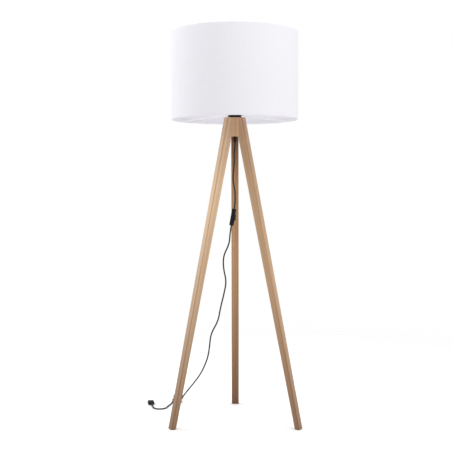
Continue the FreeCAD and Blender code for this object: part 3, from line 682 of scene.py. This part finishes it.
# %% The rolled brass shell
shell_low, shell_high = (c.z * 1000 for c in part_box("screw_shell"))
bm = threaded(12.55, 13.4, 3.63, shell_low + 2.5, shell_high - 1.5)
extend(bm, extend(bm, rim_edges(bm, shell_high - 1.5), 13.4, shell_high - 0.9), 13.5, shell_high)
low_rim = extend(bm, rim_edges(bm, shell_low + 2.5), 12.9, shell_low + 1.6)
extend(bm, extend(bm, low_rim, 13.2, shell_low + 0.8), 13.2, shell_low)
bmesh.ops.recalc_face_normals(bm, faces=bm.faces)
bmesh.ops.solidify(bm, geom=bm.faces[:], thickness=-0.0003)
shell = piece_from(bm, "brass_shell", "tripod", brass, 50)
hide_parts("screw_shell")

# %% [markdown]
# ## The bulb
# The bulb is an opal one with a nickelled screw cap. Its thread is in step with the shell's.
# Under the cap sit a black glass insulator and a lead-free solder tip. The envelope is a
# soft pear shape, so its profile has few points and a subdivision surface rounds it.

# %% Cap and envelope
cap_low, cap_high = (c.z * 1000 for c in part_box("bulb_cap"))
start = shell_low + 2.5 + 3.63 * math.ceil((cap_low + 1.5 - shell_low - 2.5) / 3.63 - 1)
bm = threaded(12.2, 13.05, 3.63, start, cap_high - 3.5)
bmesh.ops.bisect_plane(bm, geom=[*bm.verts, *bm.edges, *bm.faces],
                       plane_co=(0, 0, (cap_low + 1.5) / 1000), plane_no=(0, 0, -1),
                       clear_outer=True)
low_rim = extend(bm, rim_edges(bm, cap_low + 1.5), 12.1, cap_low + 0.6)
extend(bm, extend(bm, low_rim, 11.6, cap_low), 6.0, cap_low)
high_rim = extend(bm, rim_edges(bm, cap_high - 3.5), 12.5, cap_high - 2.9)
extend(bm, extend(bm, high_rim, 12.6, cap_high - 0.6), 13.0, cap_high)
bmesh.ops.recalc_face_normals(bm, faces=bm.faces)
bmesh.ops.solidify(bm, geom=bm.faces[:], thickness=0.0003)
cap = piece_from(bm, "bulb_screw_cap", "bulb", nickel, 50)
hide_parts("bulb_cap")

opal = Finish("opal_glass", Specular_IOR_Level=0.5, Coat_Weight=0.6, Coat_Roughness=0.05)
cloud = opal.noise(opal.place(), 40, 3)
opal.set(
    Base_Color=opal.blend(cloud, srgb(240, 240, 238), srgb(248, 248, 247)),
    Roughness=0.16 + 0.1 * cloud,
    Normal=opal.bump(opal.noise(opal.place(), 25, 1), 0.15, 0.3),
)
glass_low, glass_high = (c.z * 1000 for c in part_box("bulb_glass"))
profile = [(0, 0), (11.9, 0), (12.3, 2), (12.4, 7), (13.2, 12), (16.0, 20), (20.5, 30), (25.0, 40),
           (28.6, 49), (30.1, 58), (29.2, 67), (25.5, 75.5), (19.0, 82), (10.0, 85.6), (0, 86.1)]
bm = spun([(r, glass_low + z) for r, z in profile], closed=False, steps=48)
globe = piece_from(bm, "bulb_envelope", "bulb", opal.material)
rounder = globe.modifiers.new("rounded", "SUBSURF")
rounder.levels = rounder.render_levels = 1
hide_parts("bulb_glass")

black_glass = moulded("black_glass", srgb(14, 13, 16), srgb(26, 24, 30), 0.06, 0.01)
dress(black_glass, "bulb_insulator")
dress(solder, "bulb_contact")
dress(insert_cream, "bulb_post")
print("bulb:", round(glass_high - cap_low, 1), "mm from cap to crown")

# %% [markdown]
# ## The boot under the block
# Where the lead leaves the block it passes a soft rubber boot, which tapers so that the lead
# can't kink at a hard edge. Four grooves cut into the taper let it bend.

# %% Rubber boot
boot_low, boot_high = (c.z * 1000 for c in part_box("cord_bushing"))
flange = boot_high - 3.3
profile = [(2.7, boot_low), (3.3, boot_low), (3.6, boot_low + 0.4)]
for i in range(4):
    z = boot_low + 3.2 + 4.4 * i
    r = 3.6 + 2.9 * (z - boot_low) / (flange - boot_low)
    profile += [(r, z), (r - 0.9, z + 0.5), (r - 0.8, z + 1.5), (r + 0.25, z + 2.0)]
profile += [(6.5, flange), (8.6, flange), (9.0, flange + 0.4), (9.0, boot_high - 0.4),
            (8.6, boot_high), (5.1, boot_high), (5.1, boot_high - 1.8), (2.7, boot_high - 1.8)]
boot = piece_from(spun(profile, steps=64), "lead_boot", "tripod", rubber_black)
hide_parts("cord_bushing")

# %% [markdown]
# ## The shade
# The shade is a plain off-white cloth, stretched and glued on a white plastic liner, with its
# edges rolled over two wire rings. The cloth is one strip 1.43 m long whose ends overlap at
# the back. It is modelled as that strip's outline, a single line that comes round the lower
# ring, up the outside and round the upper ring, then spun and given the cloth's thickness.
# Because the cloth is glued down tight, it has no folds, and a cloth simulation would only
# find the same drum.

# %% Sizes of the drum
shade_low, shade_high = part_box("shade_fabric")
BOTTOM, RIM_TOP, DRUM = shade_low.z * 1000, shade_high.z * 1000, shade_high.x * 1000
CLOTH, RING_IN = 0.5, 2.7
HEM = 9.0
print("drum:", round(2 * DRUM, 1), "x", round(RIM_TOP - BOTTOM, 1), "mm")

# %% [markdown]
# Woven cloth needs coordinates that lie flat on it, so the mesh gets a UV map in metres: the
# first number goes round the drum and the second up it. The weave is then two sets of round
# threads, and a checker says which of them is on top. Linen threads vary in thickness, so
# long thin streaks of noise change the colour and the height along both directions.

# %% Coordinates along the cloth
def unroll(mesh, radius):
    """A UV map in metres round a drum, cut at the back, and up it."""
    layer = mesh.uv_layers.new(name="cloth")
    for face in mesh.polygons:
        middle = math.atan2(face.center.x, -face.center.y)
        for loop in face.loop_indices:
            spot = mesh.vertices[mesh.loops[loop].vertex_index].co
            angle = math.atan2(spot.x, -spot.y)
            if abs(angle - middle) > math.pi:
                angle += math.copysign(2 * math.pi, middle)
            layer.data[loop].uv = (angle * radius, spot.z)


# %% Linen, glued on its liner
def linen(name, light, dark, through):
    """A plain-woven cloth that lets a share of the light through."""
    cloth = Finish(name, Specular_IOR_Level=0.2, Sheen_Weight=0.15, Sheen_Roughness=0.4)
    across, up, _ = cloth.axes(cloth.add("UVMap", {"uv_map": "cloth"}))
    drift = cloth.noise(cloth.vector(across * 0.2, up * 0.2, 0), 30, 2)
    warp, weft = across * 900 + drift * 0.8, up * 900 + drift * 0.8
    over = ((warp.floor() + weft.floor()) * 0.5).fraction() * 2
    height = over * warp.wave() * (0.6 + 0.4 * weft.wave())
    height = height + (1 - over) * weft.wave() * (0.6 + 0.4 * warp.wave())
    slub_up = cloth.noise(cloth.vector(across, up * 0.035, 0), 420, 2, 0.6)
    slub_round = cloth.noise(cloth.vector(across * 0.035, up, 1), 420, 2, 0.6)
    slub = cloth.between(slub_up * 0.5 + slub_round * 0.5, 0.36, 0.64)
    colour = cloth.blend(0.55 * slub + 0.2 * (1 - height), light, dark)
    cloth.set(
        Base_Color=colour,
        Roughness=0.82 + 0.12 * slub,
        Normal=cloth.bump(height * 0.6 + slub * 0.4, 0.22, 0.5),
    )
    glow = cloth.add("BsdfTranslucent", None, {"Color": light})
    surface = Wire(cloth, cloth.shader.outputs[0])
    mixed = cloth.add("MixShader", None, {0: through, 1: surface, 2: glow})
    cloth.feed(cloth.tree.nodes["Material Output"].inputs["Surface"], mixed)
    return cloth.material


cloth_finish = linen("off_white_linen", srgb(242, 241, 245), srgb(235, 234, 239), 0.1)
print("threads per 10 mm:", 9)

# %% The cloth, from hem to hem
centre = DRUM - RING_IN
half = [(centre - 2.35, HEM), (centre - 2.4, 4.6), (centre - 2.35, 2.5)]
half += [(centre - 2.35 * math.cos(a), 2.5 - 2.45 * math.sin(a)) for a in (0.6, 1.1, 1.57)]
half += [(centre + RING_IN * math.cos(a), 2.5 - 2.45 * math.sin(a)) for a in (1.1, 0.65, 0.25)]
half += [(DRUM, 4.2), (DRUM, 12.0), (DRUM, 60.0)]
profile = [(r, BOTTOM + z) for r, z in half]
profile += [(DRUM, (BOTTOM + RIM_TOP) / 2)] + [(r, RIM_TOP - z) for r, z in reversed(half)]
bm = spun(profile, closed=False, steps=180)
bmesh.ops.recalc_face_normals(bm, faces=bm.faces)
bmesh.ops.solidify(bm, geom=bm.faces[:], thickness=CLOTH / 1000)
shade_cloth = piece_from(bm, "shade_cloth", "shade", cloth_finish, 60)
unroll(shade_cloth.data, DRUM / 1000)
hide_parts("shade_fabric")

# %% [markdown]
# The strip's two ends lie one over the other for about 13 mm. On the drum this shows only as
# a narrow second layer with two soft edges, so it is a short arc of cloth on the first one.

# %% The overlap at the back
bm = bmesh.new()
levels = [BOTTOM + 3.5, BOTTOM + 60, (BOTTOM + RIM_TOP) / 2, RIM_TOP - 60, RIM_TOP - 3.5]
line = [bm.verts.new((0, (DRUM - 0.05) / 1000, z / 1000)) for z in levels]
edges = [bm.edges.new(pair) for pair in zip(line, line[1:])]
bmesh.ops.spin(bm, geom=line + edges, cent=(0, 0, 0), axis=(0, 0, 1), dvec=(0, 0, 0),
               angle=math.radians(3.2), steps=6)
bmesh.ops.recalc_face_normals(bm, faces=bm.faces)
bmesh.ops.solidify(bm, geom=bm.faces[:], thickness=-0.0005)
rims = [e for e in bm.edges if e.is_manifold and e.calc_face_angle(0) > 1]
bmesh.ops.bevel(bm, geom=rims, offset=0.00015, offset_type="OFFSET", affect="EDGES", segments=2,
                profile=0.5, material=-1)
overlap = piece_from(bm, "shade_overlap", "shade", cloth_finish)
unroll(overlap.data, DRUM / 1000)

# %% [markdown]
# Inside, the liner is a smooth white film, slightly glossy, with faint upright ripples where
# the cloth pulls on it. The wire frame is white enamel, a little uneven in its gloss.

# %% Liner and enamelled wire
film = Finish("white_film", Specular_IOR_Level=0.25)
spot = film.place()
ripple = film.noise(film.place(scale=(1, 1, 0.06)), 60, 2)
speck = film.noise(spot, 500, 3)
# The film's white is set brighter than a real film's: painted light for the inside of the shade,
# which the lights reach little.
film.set(
    Base_Color=film.blend(0.6 * ripple + 0.4 * speck, srgb(245, 243, 250), srgb(247, 246, 251)),
    Roughness=0.5 + 0.1 * ripple,
    Normal=film.bump(ripple, 0.12, 0.3),
)
glow = film.add("BsdfTranslucent", None, {"Color": srgb(228, 227, 233)})
mixed = film.add("MixShader", None, {0: 0.1, 1: Wire(film, film.shader.outputs[0]), 2: glow})
film.feed(film.tree.nodes["Material Output"].inputs["Surface"], mixed)
dress(film.material, "shade_liner")

enamel = Finish("white_enamel", Specular_IOR_Level=0.5, Coat_Weight=0.4, Coat_Roughness=0.1)
peel = enamel.noise(enamel.place(), 300, 1)
enamel.set(
    Base_Color=enamel.blend(peel, srgb(232, 232, 232), srgb(240, 240, 239)),
    Roughness=0.22 + 0.12 * peel,
)
dress(enamel.material, "shade_bottom_frame", "shade_top_ring")
print("nodes in the liner:", len(film.tree.nodes), "in the enamel:", len(enamel.tree.nodes))

# %% [markdown]
# Three wires are welded to the ring that carries the shade. Each weld is a flattened ball
# whose skin is a little lumpy.

# %% Weld beads where the wires meet the carrier ring
bm = bmesh.new()
for degrees in (30, 150, 270):
    a = math.radians(degrees)
    spot = Vector((0.0285 * math.cos(a), 0.0285 * math.sin(a), HEAD_TOP + 0.0093))
    size = Matrix.Translation(spot) @ Matrix.Rotation(a, 4, "Z")
    size = size @ Matrix.Diagonal((1.6, 1.15, 0.55, 1))
    bmesh.ops.create_icosphere(bm, subdivisions=3, radius=0.0026, matrix=size)
for v in bm.verts:
    v.co += v.normal * 0.00012 * math.sin(v.co.x * 4000) * math.cos(v.co.y * 3700)
piece_from(bm, "frame_welds", "shade", enamel.material, 180)

# %% [markdown]
# ## The switch in the lead
# The switch's two shells are part of the mechanical model already. What a hand would notice
# is added: ribs for the thumb near both ends and ridges on the rocker. All are built in the
# switch's own frame, with Z along it, and turned into place.

# %% The switch's frame
SWITCH = Matrix.Translation((-0.008, 0, 0.7315)) @ Matrix.Rotation(math.radians(10), 4, "Y")


def bar(bm, size, middle, ease, where=Matrix.Identity(4)):
    """A bar with eased edges, size and middle in millimetres."""
    place = where @ Matrix.Translation(Vector(middle) / 1000)
    place = place @ Matrix.Diagonal((*(Vector(size) / 1000), 1))
    corners = bmesh.ops.create_cube(bm, size=1, matrix=place)["verts"]
    edges = {e for v in corners for e in v.link_edges}
    bmesh.ops.bevel(bm, geom=list(edges), offset=ease / 1000, offset_type="OFFSET",
                    affect="EDGES", segments=3, profile=0.5, material=-1)


bm = bmesh.new()
for side in (-1, 1):
    for end in (-1, 1):
        for i in range(3):
            bar(bm, (0.9, 9 - i, 1.1), (side * 7.7, 0, end * (18.6 + 2.4 * i)), 0.3, SWITCH)
ribs = piece_from(bm, "switch_ribs", "tripod", switch_black)

# %% Ridges on the rocker
ROCK = SWITCH @ Matrix.Translation((0.00555, 0, 0)) @ Matrix.Rotation(math.radians(-7), 4, "Y")
bm = bmesh.new()
for end in (-1, 1):
    for i in range(3):
        z = end * (3.4 + 1.7 * i)
        rise = 4.8 + 1.6 * (3.4 + 1.7 * i) / 8.4
        bar(bm, (0.5, 8.0, 0.7), (rise, 0, z), 0.18, ROCK)
ridges = piece_from(bm, "rocker_ridges", "rocker", rocker_black)

# %% [markdown]
# ## Hank tie
# A black nylon tie holds the folded lead. It is a band with a small ratchet head, and its cut
# tail stands out a little. The band is the four walls of an eased box.

# %% Band, head and tail
tie_low, tie_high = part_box("hank_tie")
tie_size, tie_middle = (tie_high - tie_low) * 1000, (tie_high + tie_low) * 500
bm = bmesh.new()
core = (tie_size - Vector((0.9, 0, 0.9))) / 1000
place = Matrix.Translation(tie_middle / 1000) @ Matrix.Diagonal((*core, 1))
bmesh.ops.create_cube(bm, size=1, matrix=place)
ends = [f for f in bm.faces if abs(f.normal.y) > 0.9]
bmesh.ops.delete(bm, geom=ends, context="FACES_ONLY")
long_edges = [e for e in bm.edges if not e.is_boundary]
bmesh.ops.bevel(bm, geom=long_edges, offset=0.0035, offset_type="OFFSET", affect="EDGES",
                segments=6, profile=0.5, material=-1)
bmesh.ops.recalc_face_normals(bm, faces=bm.faces)
bmesh.ops.solidify(bm, geom=bm.faces[:], thickness=0.0009)
bar(bm, (7.5, 6.6, 4.2), (tie_middle.x + 5.5, tie_middle.y, tie_size.z + 1.4), 0.8)
bar(bm, (9.0, 4.2, 0.9), (tie_middle.x + 13.0, tie_middle.y, tie_size.z + 0.9), 0.25)
nylon = moulded("black_nylon", srgb(22, 22, 22), srgb(36, 36, 37), 0.34)
tie = piece_from(bm, "lead_tie", "tripod", nylon)
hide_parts("hank_tie")

# %% [markdown]
# ## The plug
# The lead ends in a small moulded plug with two flat blades. Its relief is a taper of soft
# rings, its body has ribs on both sides for the fingers, and each blade has the usual hole
# near its tip. It is built pointing along Y from where the lead enters it, then turned and
# laid on the floor at the lead's end.

# %% Body and relief
PLUG = Matrix.Translation((-0.319, 0.204, 0.0065)) @ Matrix.Rotation(math.radians(12), 4, "Z")
bm = bmesh.new()
profile = [(2.65, 0), (3.2, 0), (3.5, 0.5)]
for i in range(5):
    r, y = 3.5 + 0.32 * i, 2.0 + 3.6 * i
    profile += [(r, y), (r - 0.7, y + 0.5), (r - 0.6, y + 1.3), (r + 0.3, y + 1.8)]
profile += [(5.3, 21.5), (2.65, 21.5)]
relief = spun([(r, y) for r, y in profile], steps=40)
relief.transform(PLUG @ Matrix.Rotation(math.radians(-90), 4, "X"))
body = Matrix.Translation((0, 0.035, 0)) @ Matrix.Diagonal((0.023, 0.030, 0.013, 1))
bmesh.ops.create_cube(bm, size=1, matrix=body)
long_edges = [e for e in bm.edges if abs(e.verts[0].co.y - e.verts[1].co.y) > 0.02]
bmesh.ops.bevel(bm, geom=long_edges, offset=0.004, offset_type="OFFSET", affect="EDGES",
                segments=6, profile=0.5, material=-1)
ends = [e for e in bm.edges if all(v.co.y < 0.0201 for v in e.verts)]
bmesh.ops.bevel(bm, geom=ends, offset=0.0028, offset_type="OFFSET", affect="EDGES", segments=4,
                profile=0.5, material=-1)
ends = [e for e in bm.edges if all(v.co.y > 0.0499 for v in e.verts)]
bmesh.ops.bevel(bm, geom=ends, offset=0.0006, offset_type="OFFSET", affect="EDGES", segments=2,
                profile=0.5, material=-1)
for side in (-1, 1):
    for i in range(5):
        bar(bm, (0.9, 1.2, 6.5), (side * 11.3, 27.5 + 3.2 * i, 0), 0.35)
bm.transform(PLUG)
scrap = bpy.data.meshes.new("relief")
relief.to_mesh(scrap)
relief.free()
bm.from_mesh(scrap)
bpy.data.meshes.remove(scrap)
plug_case = piece_from(bm, "plug_case", "tripod", rubber_black)
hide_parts("plug_body")

# %% Two blades, each with its hole
bm = bmesh.new()
for side in (-1, 1):
    hole = bmesh.ops.create_circle(bm, segments=24, radius=0.0016)["verts"]
    outside = bmesh.ops.create_circle(bm, segments=24, radius=0.003)["verts"]
    for v in outside:
        v.co *= 1 / max(abs(v.co.x) / 0.003175, abs(v.co.y) / 0.0043)
    for v in outside + hole:
        v.co.y += 0.0043
    for v in outside:
        if v.co.y < 0.0005:
            v.co.y = -0.0154
    rims = {e for v in outside + hole for e in v.link_edges}
    made = bmesh.ops.bridge_loops(bm, edges=list(rims))["faces"]
    lifted = bmesh.ops.extrude_face_region(bm, geom=made)["geom"]
    solid = {v for f in made for v in f.verts}
    top = [g for g in lifted if isinstance(g, bmesh.types.BMVert)]
    bmesh.ops.translate(bm, verts=top, vec=(0, 0, 0.0015))
    turn = Matrix.Translation((side * 0.00635 - 0.00075, 0.0574, 0))
    turn = turn @ Matrix.Rotation(math.pi / 2, 4, "Y")
    bmesh.ops.transform(bm, matrix=PLUG @ turn, verts=list(solid | set(top)))
blades = piece_from(bm, "plug_contacts", "tripod", nickel)
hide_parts("plug_blades")

# %% [markdown]
# ## What the lead is
# Whoever puts the lamp in a room may lay its lead another way. The lead is made of two
# runs, and their names are printed here.

# %% The two runs' names
print("cords:", lead_upper.name, "and", lead_lower.name)
